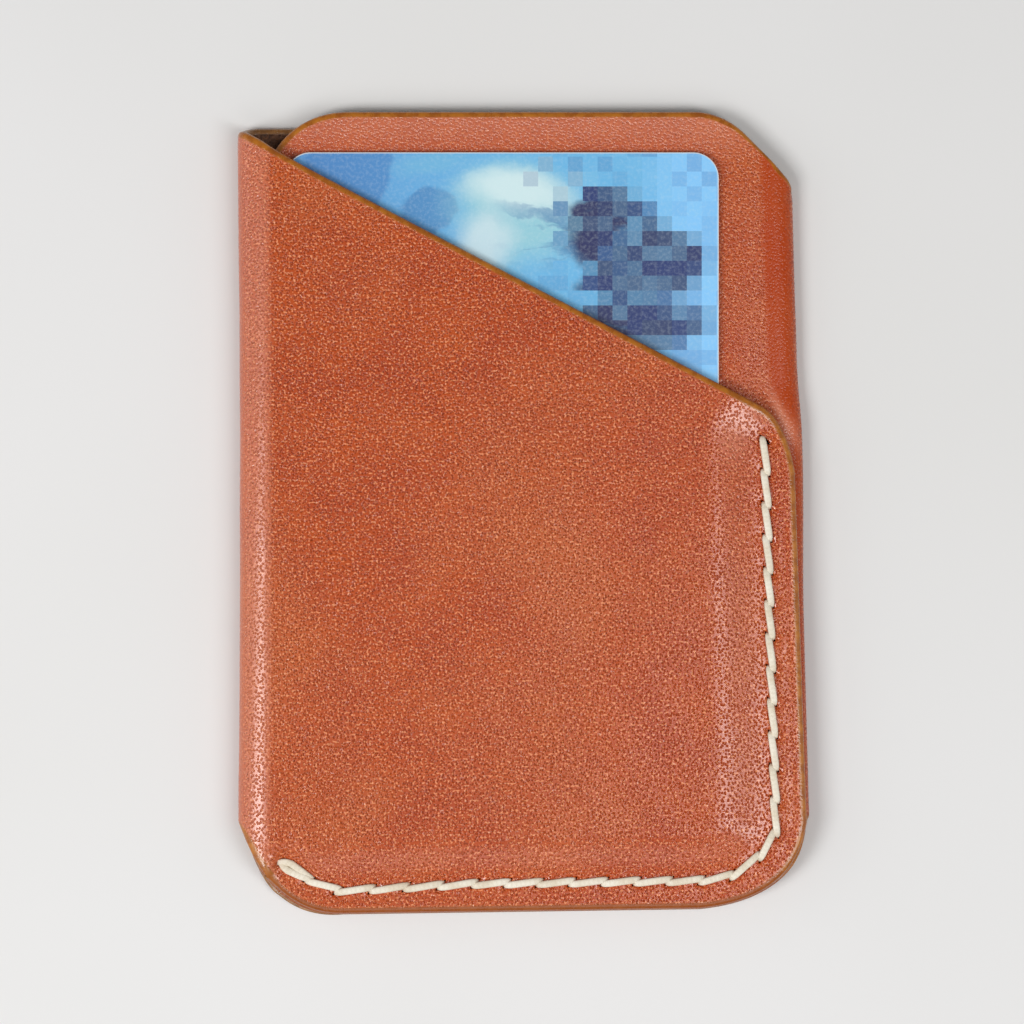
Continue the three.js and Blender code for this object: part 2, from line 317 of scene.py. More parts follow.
def outward(u, y):
    """Unit normal of the rolled sheet on its grain side."""
    step = 0.02
    along_u = roll(u + step, y) - roll(u - step, y)
    along_y = roll(u, y + step) - roll(u, y - step)
    normal = np.cross(along_y, along_u)
    return normal / np.linalg.norm(normal, axis=-1, keepdims=True)


def grain_length(u, y):
    """Distance along the grain face, which is stretched round the folds."""
    steps = np.arange(-SEARCH, 2 * SEARCH, 0.05)
    level = np.full(len(steps), UNSEWN_Y)
    face = roll(steps, level) + outward(steps, level) * LEATHER / 2
    covered = np.concatenate([[0], np.cumsum(np.linalg.norm(np.diff(face, axis=0), axis=1))])
    # the right fold lies further along the blank lower down; the shift sets in on the flat back
    shift = (fold_axis(UNSEWN_Y) - fold_axis(y)) * smoothstep(20, 40, u)
    return np.interp(u + shift, steps, covered) - shift


# ---------------------------------------------------------------- the cut outline of the blank

CURVE_SPACING = 0.35
LINE_SPACING = 0.45


def curve(start, control, end):
    """Points of a quadratic curve, its last point left out."""
    start, control, end = map(np.array, (start, control, end))
    length = np.linalg.norm(control - start) + np.linalg.norm(end - control)
    t = np.arange(0, 1, CURVE_SPACING / length)[:, None]
    return start * (1 - t) ** 2 + control * 2 * t * (1 - t) + end * t**2


def line(start, end):
    """Points of a straight line, its last point left out."""
    start, end = np.array(start, float), np.array(end, float)
    count = max(1, round(float(np.linalg.norm(end - start)) / LINE_SPACING))
    t = (np.arange(count) / count)[:, None]
    return start * (1 - t) + end * t


# the lower edge of each layer; step is how far it stands out past the front


def lower_right(right, step):
    return curve((right, CORNER_START), (right - 1.3, -47.9 - step), (22, BOTTOM_RIGHT - step))


def lower_left(step):
    low = BOTTOM_LEFT - step
    control = (-30.8 - 3 * step, -49.9 - 3 * step)
    return curve((-22.5, low), control, (LEFT_SIDE, LEFT_CORNER_START))


def foot(step):
    return line((22, BOTTOM_RIGHT - step), (-22.5, BOTTOM_LEFT - step))


def front_edge():
    side = (33.8, 5)
    plan = np.concatenate([
        curve((LEFT_SIDE, BACK_TOP - 0.5), (-33.5, 47.0), (-31, 45.35)),
        curve((-31, 45.35), (-28.6, 43.88), (-24, 41.47)),
        line((-24, 41.47), (29.6, 13.35)),
        curve((29.6, 13.35), (32.8, 11.5), side),
        line(side, (FRONT_RIGHT, CORNER_START)),
        lower_right(FRONT_RIGHT, 0),
        foot(0),
        lower_left(0),
    ])
    return np.stack([front_u(plan[:, 0]), plan[:, 1]], axis=-1)


def back_foot():
    plan = np.concatenate([
        lower_right(fold_side(CORNER_START), 2 * LAYER_STEP),
        foot(2 * LAYER_STEP),
        lower_left(2 * LAYER_STEP),
        [(LEFT_SIDE, LEFT_CORNER_START)],
    ])[::-1][:-1]
    return np.stack([back_u(plan[:, 0], plan[:, 1]), plan[:, 1]], axis=-1)


def middle_edge():
    low = lower_left(LAYER_STEP)
    low = low[low[:, 0] > MIDDLE_LOOSE_EDGE]
    fold_end = (fold_side(CORNER_TOP), CORNER_TOP)
    plan = np.concatenate([
        lower_right(fold_side(CORNER_START), LAYER_STEP),
        foot(LAYER_STEP),
        low,
        line((MIDDLE_LOOSE_EDGE, low[-1][1] + 0.4), (MIDDLE_LOOSE_EDGE, 41.8)),
        line((MIDDLE_LOOSE_EDGE, 41.8), (-30.9, 45.4)),
        curve((-30.9, 45.4), (-27.7, 50), (-21.9, MIDDLE_TOP)),
        line((-21.9, MIDDLE_TOP), (21.9, MIDDLE_TOP)),
        curve((21.9, MIDDLE_TOP), (25.4, 49.7), (27.9, 47.1)),
        line((27.9, 47.1), (33.1, 41.9)),
        curve((33.1, 41.9), (33.7, 41.3), fold_end),
    ])
    return np.stack([middle_u(plan[:, 0], plan[:, 1]), plan[:, 1]], axis=-1)


def back_top():
    plan = np.concatenate([
        curve((fold_side(CORNER_TOP), CORNER_TOP), (33.6, 41.0), (32.9, 41.5)),
        line((32.9, 41.5), (27.8, 46.1)),
        curve((27.8, 46.1), (25.5, 47.9), (22, BACK_TOP)),
        line((22, BACK_TOP), (LEFT_AXIS, BACK_TOP)),
        curve((LEFT_AXIS, BACK_TOP), (-34.9, BACK_TOP), (LEFT_SIDE, BACK_TOP - 0.5)),
    ])
    return np.stack([back_u(plan[:, 0], plan[:, 1]), plan[:, 1]], axis=-1)


def slit_outline(hole):
    """A pointed slit in plan, as (x, y) points in order."""
    at, _, _ = hole
    along = slit_direction(hole)
    across = np.array([-along[1], along[0]])
    turn = np.arange(SLIT_POINTS) * 2 * math.pi / SLIT_POINTS
    reach = SLIT_HALF * np.cos(turn)
    width = SLIT_HALF_WIDTH * np.sign(np.sin(turn)) * np.abs(np.sin(turn)) ** 1.2
    return at + reach[:, None] * along + width[:, None] * across


def inside(points, polygon):
    """Which of the points lie inside a closed polygon."""
    result = np.zeros(len(points), bool)
    ends = np.roll(polygon, -1, axis=0)
    for (ax, ay), (bx, by) in zip(polygon, ends):
        if ay == by:
            continue
        crosses = (points[:, 1] < ay) != (points[:, 1] < by)
        at = ax + (points[:, 1] - ay) * (bx - ax) / (by - ay)
        result ^= crosses & (points[:, 0] < at)
    return result


def tree_of(points):
    tree = KDTree(len(points))
    for i, (px, py) in enumerate(points):
        tree.insert((px, py, 0), i)
    tree.balance()
    return tree


def distance_to_outline(points, outline):
    """Distance from each point to a closed polyline."""
    tree = tree_of(outline)
    count = len(outline)
    nearest = np.array([tree.find((px, py, 0))[1] for px, py in points])
    best = np.full(len(points), 1e9)
    for step in (-1, 0):
        a = outline[(nearest + step) % count]
        b = outline[(nearest + step + 1) % count]
        along = b - a
        t = np.sum((points - a) * along, axis=1) / np.maximum(np.sum(along**2, axis=1), 1e-12)
        foot_point = a + along * np.clip(t, 0, 1)[:, None]
        best = np.minimum(best, np.linalg.norm(points - foot_point, axis=1))
    return best


def columns():
    """u of the grid columns: close together round the folds and where the layers bend."""
    flat, sloping, left_fold, right_fold = 0.8, 0.5, 0.36, 0.21  # spacings
    border = 25.0  # right of this the layers slope down to the seam
    front_border = LEFT_AXIS - border
    back_border = LEFT_ARC + border - LEFT_AXIS
    # the right fold leans, so it covers more of the blank than its arc
    fold_start = float(LEFT_ARC + fold_axis(44.0) - LEFT_AXIS)
    fold_end = float(LEFT_ARC + fold_axis(-38.0) - LEFT_AXIS) + RIGHT_ARC
    return np.concatenate([
        np.arange(LEFT_AXIS - 36, front_border, sloping),
        np.arange(front_border, -0.6, flat),
        np.arange(-0.5, LEFT_ARC + 0.5, left_fold),
        np.arange(LEFT_ARC + 0.9, back_border, flat),
        np.arange(back_border, fold_start - 0.3, sloping),
        np.arange(fold_start, fold_end + 0.3, right_fold),
        np.arange(fold_end + 0.6, fold_end + 9, sloping),
        np.arange(fold_end + 9.5, fold_end + 70, flat),
    ])


def grid_points():
    """Points all over the blank, every other column shifted so that the triangles are even."""
    rows = np.concatenate([np.arange(-50, -40, 0.5), np.arange(-40, 50, 0.72)])
    shift = 0.3
    points = []
    for i, u in enumerate(columns()):
        points.append(np.stack([np.full(len(rows), u), rows + shift * (i % 2)], axis=-1))
    return np.concatenate(points)


BEVEL = 0.8  # how far in from a cut edge the grain face starts to round off
CORNER_BEVEL = 0.4  # the same at the upper right corner
INNER_BEVEL = 0.5  # the same on the flesh face
SQUARE = 0.12  # the bevel of an edge that is sewn against another layer
RIM_STEPS = (0.07, 0.16, 0.28, 0.44, 0.64, 0.9, 1.25)  # rows of points inside the cut edge
RIM_ROOM = 0.25  # least distance from those rows to the grid
SLIT_ROOM = 0.2  # least distance from a slit to the other points


def rings(outline):
    """Rows of points that run just inside the cut edge."""
    ahead = np.roll(outline, -1, axis=0) - np.roll(outline, 1, axis=0)
    ahead /= np.linalg.norm(ahead, axis=1, keepdims=True)
    x, y = outline[:, 0], outline[:, 1]
    area = np.sum(x * np.roll(y, -1) - np.roll(x, -1) * y)
    normal = np.stack([-ahead[:, 1], ahead[:, 0]], axis=-1) * np.sign(area)
    result = []
    for step in RIM_STEPS:
        ring = outline + normal * step
        clear = distance_to_outline(ring, outline) > step * 0.93
        result.append(ring[clear])
    return np.concatenate(result)


def blank_slits():
    """The slits of all three layers in the flat blank."""
    plan = np.concatenate([slit_outline(hole) for hole in HOLES])
    x, y = plan[:, 0], plan[:, 1]
    slits = []
    for u in (front_u(x), back_u(x, y), middle_u(x, y)):
        slits += np.split(np.stack([u, y], axis=-1), len(HOLES))
    return slits


def outside_slits(points, slits):
    """Which of the points lie in no slit."""
    keep = np.ones(len(points), bool)
    for slit in slits:
        near = np.hypot(*(points - slit.mean(axis=0)).T) < 1
        keep[near] &= ~inside(points[near], slit)
    return keep


def triangulate():
    """The flat blank as points and triangles, with its slits cut out."""
    outline = np.concatenate([front_edge(), back_foot(), middle_edge(), back_top()])
    slits = blank_slits()
    edge_points = rings(outline)
    candidates = grid_points()
    candidates = candidates[inside(candidates, outline)]
    far = distance_to_outline(candidates, outline) > RIM_STEPS[-1] + RIM_ROOM
    points = np.concatenate([edge_points, candidates[far]])
    slit_tree = tree_of(np.concatenate(slits))
    room = np.array([slit_tree.find((px, py, 0))[2] for px, py in points])
    points = points[room > SLIT_ROOM]
    points = points[outside_slits(points, slits)]

    loops = [outline, *slits]
    all_points = np.concatenate([*loops, points])
    edges = []
    start = 0
    for loop in loops:
        n = len(loop)
        edges += [(start + i, start + (i + 1) % n) for i in range(n)]
        start += n
    made = delaunay_2d_cdt([Vector(p) for p in all_points], edges, [], 0, 1e-5)
    flat = np.array([tuple(v) for v in made[0]])
    triangles = np.array(made[2])
    centres = flat[triangles].mean(axis=1)
    triangles = triangles[inside(centres, outline) & outside_slits(centres, slits)]
    # turn every triangle the same way round
    a, b, c = (flat[triangles[:, i]] for i in range(3))
    turn = (b[:, 0] - a[:, 0]) * (c[:, 1] - a[:, 1]) - (b[:, 1] - a[:, 1]) * (c[:, 0] - a[:, 0])
    triangles[turn > 0] = triangles[turn > 0][:, ::-1]
    return flat, triangles, outline


def rim_profile(distance, radius):
    """Share of the half thickness that is left at a distance from the cut edge."""
    blunt = 0.22  # share left at the cut itself
    t = np.clip(distance / np.maximum(radius, 1e-6), 0, 1)
    return blunt + (1 - blunt) * np.sqrt(1 - (1 - t) ** 2)


DIMPLE_DEPTH = 0.16
DIMPLE_RADIUS = 0.95


def dimples(plan):
    """How far the thread pulls the leather in round its holes, in millimetres."""
    pull = np.zeros(len(plan))
    for at, _, _ in HOLES:
        reach = np.hypot(plan[:, 0] - at[0], plan[:, 1] - at[1])
        pull = np.maximum(pull, DIMPLE_DEPTH * np.exp(-((reach / DIMPLE_RADIUS) ** 2)))
    return pull


WAVE_DEPTH = 0.035


def waviness(u, y):
    """Slow hand-made unevenness of the sheet, in millimetres."""
    return WAVE_DEPTH * (
        np.sin(0.31 * u + 0.17 * y + 0.6)
        + np.sin(-0.12 * u + 0.36 * y + 2.1)
        + 0.6 * np.sin(0.83 * u - 0.47 * y)
    ) / 2.6


CREASE_DEPTH = 0.05  # of the line pressed along the front's edges
CREASE_AT = 1.55  # distance of that line from the edge
CREASE_WIDTH = 0.22
GRAIN_INSET = 0.04  # keeps the waves and the relief inside the CAD box
EDGE_LIMIT = 4  # from_edge is only told apart up to here


def bend_marks(u, y, sewn, corner, in_middle):
    """How much the grain is rubbed flat, and the painted shade and painted highlight of each point.
    """
    past_fold = past_right_fold(y)
    # the grain is drawn flat round both folds, and rubbed on the middle layer
    # bent also deepens the colour on the right fold's outer bend: painted shade where the fold
    # turns away from the lights and shows no sheen
    bent = smoothstep(past_fold + 2.2, past_fold + 0.9, u)
    bent = bent * smoothstep(past_fold - 0.45 * RIGHT_ARC, past_fold - 0.2 * RIGHT_ARC, u)
    # the middle layer's top strip is rubbed a little flatter, and it also gets a painted sheen
    top_strip = smoothstep(42.5, 49, y) * np.where(in_middle, 1, 0) * (1 - 0.7 * corner)
    flank = smoothstep(0.22 * LEFT_ARC, 0.4 * LEFT_ARC, u)
    flank = flank * smoothstep(0.8 * LEFT_ARC, 0.6 * LEFT_ARC, u)
    middle_rub = np.where(in_middle, 0.25, 0) + 0.2 * top_strip
    rubbed = np.maximum(middle_rub, 0.75 * np.maximum(bent, flank))
    # painted highlight: a pale colour painted where the leather would reflect the lights: at the
    # left fold, on the slope down to the seam, where the right fold swells out, and as a painted
    # sheen along the middle layer's top strip
    left_fold_highlight = smoothstep(-0.7, 0.2, u) * smoothstep(0.85 * LEFT_ARC, 0.6 * LEFT_ARC, u)
    is_front = u < LEFT_ARC / 2
    seam_slope_highlight = 4 * sewn * (1 - sewn) * is_front * (0.3 + 0.7 * smoothstep(5, 9, y))
    swell_at = past_fold + 1.3 - 0.32 * (15 - y)
    swell_highlight = np.exp(-(((y - 12) / 3.4) ** 2) - ((u - swell_at) / 0.7) ** 2)
    bent = bent * (1 - swell_highlight)
    painted_sheen = np.maximum.reduce([top_strip, 0.85 * left_fold_highlight, seam_slope_highlight, 1.7 * swell_highlight])
    return rubbed, bent, painted_sheen


def sheet_faces(triangles, count):
    """Both faces of the sheet, and walls along the cut outline and the slits."""
    faces = [tuple(t) for t in triangles]
    faces += [(a + count, c + count, b + count) for a, b, c in triangles]
    edges = {}
    for a, b, c in triangles:
        for pair in ((a, b), (b, c), (c, a)):
            edges[pair] = True
    for a, b in edges:
        if (b, a) not in edges:
            faces.append((b, a, a + count, b + count))
    return faces


def make_leather():
    flat, triangles, outline = triangulate()
    u, y = flat[:, 0], flat[:, 1]
    middle = roll(u, y)
    normal = outward(u, y)
    from_edge = distance_to_outline(flat, outline)
    sewn = press(middle[:, 0], y)
    is_front = u < LEFT_ARC / 2
    in_middle = u > past_right_fold(y)

    corner = smoothstep(24, 31, middle[:, 0]) * smoothstep(36, 42, y)  # the upper right one
    bevel = BEVEL - (BEVEL - CORNER_BEVEL) * corner
    grain_radius = np.where(in_middle, bevel + (SQUARE - bevel) * sewn, bevel)
    flesh_radius = INNER_BEVEL + (SQUARE - INNER_BEVEL) * sewn
    grain = LEATHER / 2 * rim_profile(from_edge, grain_radius)
    flesh = LEATHER / 2 * rim_profile(from_edge, flesh_radius)

    pull = dimples(middle) * np.where(in_middle, 0, 1)
    crease = CREASE_DEPTH * np.exp(-(((from_edge - CREASE_AT) / CREASE_WIDTH) ** 2))
    crease = crease * np.where(is_front, 1, 0)
    open_field = 1 - smoothstep(0, 1, sewn)
    waves = waviness(u, y) * open_field * smoothstep(BEVEL, 6, from_edge)
    grain = grain - pull - crease + waves - GRAIN_INSET

    count = len(flat)
    upper = middle + normal * grain[:, None]
    lower = middle - normal * flesh[:, None]
    vertices = np.concatenate([upper, lower]) * MM
    mesh = bpy.data.meshes.new("leather_body")
    mesh.from_pydata(vertices.tolist(), [], sheet_faces(triangles, count))
    mesh.update()

    rim_distance = np.minimum(from_edge * BEVEL / bevel, EDGE_LIMIT)
    rubbed, bent, painted_sheen = bend_marks(u, y, sewn, corner, in_middle)
    for name, on_grain, on_flesh in (
        ("from_edge", rim_distance, rim_distance),
        ("grain_side", np.ones(count), -np.ones(count)),
        ("pull", pull, np.zeros(count)),
        ("rubbed", rubbed, rubbed),
        ("bent", bent, bent),
        ("painted_sheen", painted_sheen, painted_sheen),
    ):
        attribute = mesh.attributes.new(name, "FLOAT", "POINT")
        values = np.concatenate([on_grain, on_flesh])
        attribute.data.foreach_set("value", values.astype(np.float32))
    # the place of each point on the grain face laid flat, so that the grain runs on round the folds
    blank = mesh.attributes.new("blank", "FLOAT_VECTOR", "POINT")
    place = np.column_stack([grain_length(u, y) * MM, y * MM, np.zeros(count)])
    places = np.concatenate([place, place])
    blank.data.foreach_set("vector", places.ravel().astype(np.float32))
    for polygon in mesh.polygons:
        polygon.use_smooth = True
    leather = bpy.data.objects.new("leather_body", mesh)
    bpy.context.collection.objects.link(leather)
    return leather


# ---------------------------------------------------------------- the thread

THREAD_WIDTH = 0.9
THREAD_HEIGHT = 0.52
SINK = 0.95  # how far below the surface a stitch turns straight down
LEG_OFFSET = 0.4  # the two strands pass on either side of a hole's centre
LOCK_BOW = 0.6  # the doubled last stitch bows apart this much on each side
RUN_STEPS = 22
SIDES = 14
BEDDING = 0.03  # how far the stitches press into the leather
ON_TOP = FRONT_Z - FRONT_DROP + LEATHER - BEDDING
UNDERNEATH = BACK_RISE + BEDDING
LAST_SKEW = 1.7  # each half of the doubled stitch bows most near one of its ends
LOCK_SKEW = 0.6
LOCK_LIFT = 0.05


def run_points(start, end, surface, up, lift, bow_out, skew):
    """Centre line of one stitch on a face of the leather: flat on top, diving at both ends."""
    power = 5.0  # 2 would be a half circle; higher is squarer
    turn = np.linspace(0, math.pi, RUN_STEPS)
    along = (1 - np.sign(np.cos(turn)) * np.abs(np.cos(turn)) ** (2 / power)) / 2
    rise = np.abs(np.sin(turn)) ** (2 / power)
    # the first end is tucked under the stitch before it
    tuck = 0.14 * (1 - smoothstep(0.0, 0.35, along))
    height = -SINK + (SINK + THREAD_HEIGHT / 2 + lift) * rise - tuck
    plan = start + (end - start) * along[:, None]
    aside = np.array([start[1] - end[1], end[0] - start[0]]) / np.hypot(*(end - start))
    plan = plan + aside * (bow_out * np.sin(math.pi * along**skew))[:, None]
    points = np.column_stack([plan, surface + up * height])
    width = THREAD_WIDTH * (0.5 + 0.5 * rise**2)
    return points, width


def strand(parity):
    """One working end of the thread: above the leather on every other stitch, below it between."""
    parts = []
    for i in range(len(HOLES) - 1):
        above = i % 2 == parity
        sign = 1 if above else -1
        start = HOLES[i][0] - sign * LEG_OFFSET * slit_direction(HOLES[i])
        end = HOLES[i + 1][0] + sign * LEG_OFFSET * slit_direction(HOLES[i + 1])
        last = i == len(HOLES) - 2
        out = -sign * LOCK_BOW if last else 0
        surface = ON_TOP if above else UNDERNEATH
        parts.append(run_points(start, end, surface, sign, 0, out, LAST_SKEW))
    return parts


def locked_end(parity):
    """The last stitch sewn once more, back to the hole before."""
    last, before = HOLES[-1], HOLES[-2]
    above = (len(HOLES) - 2) % 2 != parity
    sign = 1 if above else -1
    start = last[0] - last[2] * 0.2 + last[1] * 0.1
    end = before[0] - before[2] * 0.1 - before[1] * 0.1
    surface = ON_TOP if above else UNDERNEATH
    return run_points(start, end, surface, sign, LOCK_LIFT, -sign * LOCK_BOW, LOCK_SKEW)


def sweep(parts, name):
    """A flattened tube along the joined stitches, closed at both ends."""
    squared = 0.8  # a little squarer than an ellipse
    points = np.concatenate([p for p, _ in parts])
    widths = np.concatenate([w for _, w in parts])
    ahead = np.gradient(points, axis=0)
    ahead /= np.linalg.norm(ahead, axis=1, keepdims=True)
    vertices = []
    side = None
    for centre, tangent, width in zip(points, ahead, widths):
        flat_side = np.cross(tangent, (0, 0, 1))
        if np.linalg.norm(flat_side) < 0.25 and side is not None:
            flat_side = side
        flat_side = flat_side - tangent * flat_side.dot(tangent)
        flat_side /= np.linalg.norm(flat_side)
        if side is not None and flat_side.dot(side) < 0:
            flat_side = -flat_side
        side = flat_side
        depth = np.cross(side, tangent)
        for k in range(SIDES):
            a = 2 * math.pi * k / SIDES
            c, s = math.cos(a), math.sin(a)
            across = math.copysign(abs(c) ** squared, c) * width / 2
            thick = math.copysign(abs(s) ** squared, s) * THREAD_HEIGHT / 2
            vertices.append(centre + side * across + depth * thick)
    faces = []
    rows = len(points)
    for i in range(rows - 1):
        for k in range(SIDES):
            n = (k + 1) % SIDES
            here, after = i * SIDES, (i + 1) * SIDES
            faces.append((here + k, here + n, after + n, after + k))
    faces.append(tuple(range(SIDES))[::-1])
    faces.append(tuple((rows - 1) * SIDES + k for k in range(SIDES)))
    mesh = bpy.data.meshes.new(name)
    mesh.from_pydata([tuple(v * MM) for v in np.array(vertices)], [], faces)
    # length along the thread and angle round it, for its twist
    steps = np.concatenate([[0], np.cumsum(np.linalg.norm(np.diff(points, axis=0), axis=1))])
    along = mesh.attributes.new("along", "FLOAT", "POINT")
    along.data.foreach_set("value", np.repeat(steps, SIDES).astype(np.float32))
    around = mesh.attributes.new("around", "FLOAT", "POINT")
    around.data.foreach_set("value", np.tile(np.arange(SIDES) / SIDES, rows).astype(np.float32))
    fix_normals(mesh)
    for polygon in mesh.polygons:
        polygon.use_smooth = True
    return mesh


def fix_normals(mesh):
    cleaned = bmesh.new()
    cleaned.from_mesh(mesh)
    bmesh.ops.recalc_face_normals(cleaned, faces=cleaned.faces)
    cleaned.to_mesh(mesh)
    cleaned.free()


def make_thread():
    """One thread: both strands leave the first hole and are locked at the last."""
    first = strand(0) + [locked_end(0)]
    second = strand(1) + [locked_end(1)]
    backwards = [(p[::-1], w[::-1]) for p, w in reversed(second)]
    mesh = sweep(backwards + first, "saddle_stitch")
    thread = bpy.data.objects.new("saddle_stitch", mesh)
    bpy.context.collection.objects.link(thread)
    return thread


# ---------------------------------------------------------------- the card

CARD_CORNER = 3.18
CORNER_STEPS = 14
# (inset from the edge, share of the thickness), from the lower face up round the edge
CARD_PROFILE = [
    (0.16, 0),
    (0.1, 0),
    (0.03, 0.05),
    (0, 0.16),
    (0, 0.84),
    (0.03, 0.95),
    (0.1, 1),
    (0.16, 1),
]
RIM_INSET = 0.15  # the white core shows up to here


def make_card():
    """A laminated card with softly cut edges; its rim shows the white core."""
    low, high = np.array(CARD_LOW), np.array(CARD_HIGH)
    thick = high[2] - low[2]
    rows = []
    for inset, share in CARD_PROFILE:
        radius = CARD_CORNER - inset
        z = low[2] + thick * share
        row = []
        for corner, (cx, cy) in enumerate((
            (high[0] - CARD_CORNER, high[1] - CARD_CORNER),
            (low[0] + CARD_CORNER, high[1] - CARD_CORNER),
            (low[0] + CARD_CORNER, low[1] + CARD_CORNER),
            (high[0] - CARD_CORNER, low[1] + CARD_CORNER),
        )):
            for k in range(CORNER_STEPS + 1):
                a = math.pi / 2 * (corner + k / CORNER_STEPS)
                row.append((cx + radius * math.cos(a), cy + radius * math.sin(a), z))
        rows.append(row)
    count = len(rows[0])
    vertices = [tuple(c * MM for c in v) for row in rows for v in row]
    faces = []
    for r in range(len(rows) - 1):
        here, above = r * count, (r + 1) * count
        for k in range(count):
            n = (k + 1) % count
            faces.append((here + k, here + n, above + n, above + k))
    faces.append(tuple(range(count))[::-1])
    faces.append(tuple((len(rows) - 1) * count + k for k in range(count)))
    mesh = bpy.data.meshes.new("bank_card")
    mesh.from_pydata(vertices, [], faces)
    rim = mesh.attributes.new("rim", "FLOAT", "POINT")
    values = [1.0 if inset < RIM_INSET else 0.0 for inset, _ in CARD_PROFILE for _ in range(count)]
    rim.data.foreach_set("value", values)
    fix_normals(mesh)
    for polygon in mesh.polygons:
        polygon.use_smooth = len(polygon.vertices) == 4
    made = bpy.data.objects.new("bank_card", mesh)
    bpy.context.collection.objects.link(made)
    return made


# ---------------------------------------------------------------- materials


def srgb(red, green, blue):
    """A screen colour (0 to 255) as the linear colour that nodes use."""
    def linear(c):
        c /= 255
        return c / 12.92 if c <= 0.04045 else ((c + 0.055) / 1.055) ** 2.4
    return (linear(red), linear(green), linear(blue), 1)


class Nodes:
    """Short names for building a material's node tree."""

    def __init__(self, name):
        self.material = bpy.data.materials.new(name)
        self.material.use_nodes = True
        self.tree = self.material.node_tree
        self.tree.nodes.clear()
        self.output = self.tree.nodes.new("ShaderNodeOutputMaterial")

    def add(self, kind, inputs=None, **settings):
        node = self.tree.nodes.new("ShaderNode" + kind)
        for key, value in settings.items():
            setattr(node, key, value)
        for key, value in (inputs or {}).items():
            self.set(node.inputs[key], value)
        return node

    def set(self, socket, value):
        if isinstance(value, bpy.types.NodeSocket):
            self.tree.links.new(value, socket)
        else:
            socket.default_value = value

    def math(self, operation, a, b=0.0):
        node = self.add("Math", operation=operation)
        self.set(node.inputs[0], a)
        self.set(node.inputs[1], b)
        return node.outputs[0]

    def ramp(self, value, low, high, to_low=0.0, to_high=1.0, smooth=True):
        node = self.add("MapRange", interpolation_type="SMOOTHSTEP" if smooth else "LINEAR")
        for key, v in (("Value", value), ("From Min", low), ("From Max", high),
                       ("To Min", to_low), ("To Max", to_high)):
            self.set(node.inputs[key], v)
        return node.outputs[0]

    def mix(self, share, a, b):
        """Colour a, with a share of colour b."""
        node = self.add("Mix", data_type="RGBA")
        self.set(node.inputs[0], share)
        self.set(node.inputs[6], a)
        self.set(node.inputs[7], b)
        return node.outputs[2]

    def blend(self, share, a, b):
        """The same for two numbers."""
        node = self.add("Mix", data_type="FLOAT")
        self.set(node.inputs[0], share)
        self.set(node.inputs[2], a)
        self.set(node.inputs[3], b)
        return node.outputs[0]

    def attribute(self, name):
        return self.add("Attribute", attribute_name=name).outputs["Fac"]

    def noise(self, place, scale, detail=3.0, roughness=0.5, distortion=0.0):
        node = self.add("TexNoise", {"Vector": place, "Scale": scale, "Detail": detail,
                                     "Roughness": roughness, "Distortion": distortion})
        return node.outputs[0]

    def voronoi(self, place, scale):
        """Distance to the nearest of the points scattered over a plane."""
        node = self.add("TexVoronoi", {"Vector": place, "Scale": scale}, voronoi_dimensions="2D")
        return node.outputs["Distance"]

    def warp(self, place, scale, amount):
        """A place shifted by up to half the amount each way."""
        wobble = self.add("TexNoise", {"Vector": place, "Scale": scale, "Detail": 2.0})
        centred = self.vector("SUBTRACT", wobble.outputs["Color"], (0.5, 0.5, 0.5))
        return self.vector("ADD", self.vector("MULTIPLY", centred, (amount, amount, 0.0)), place)

    def vector(self, operation, a, b, output="Vector"):
        node = self.add("VectorMath", operation=operation)
        self.set(node.inputs[0], a)
        self.set(node.inputs[1], b)
        return node.outputs[output]

    def bump(self, height, distance):
        node = self.add("Bump", {"Height": height, "Distance": distance, "Strength": 1.0})
        return node.outputs[0]

    def surface(self, **inputs):
        shader = self.add("BsdfPrincipled", {k.replace("_", " "): v for k, v in inputs.items()})
        self.tree.links.new(shader.outputs[0], self.output.inputs[0])
        return self.material


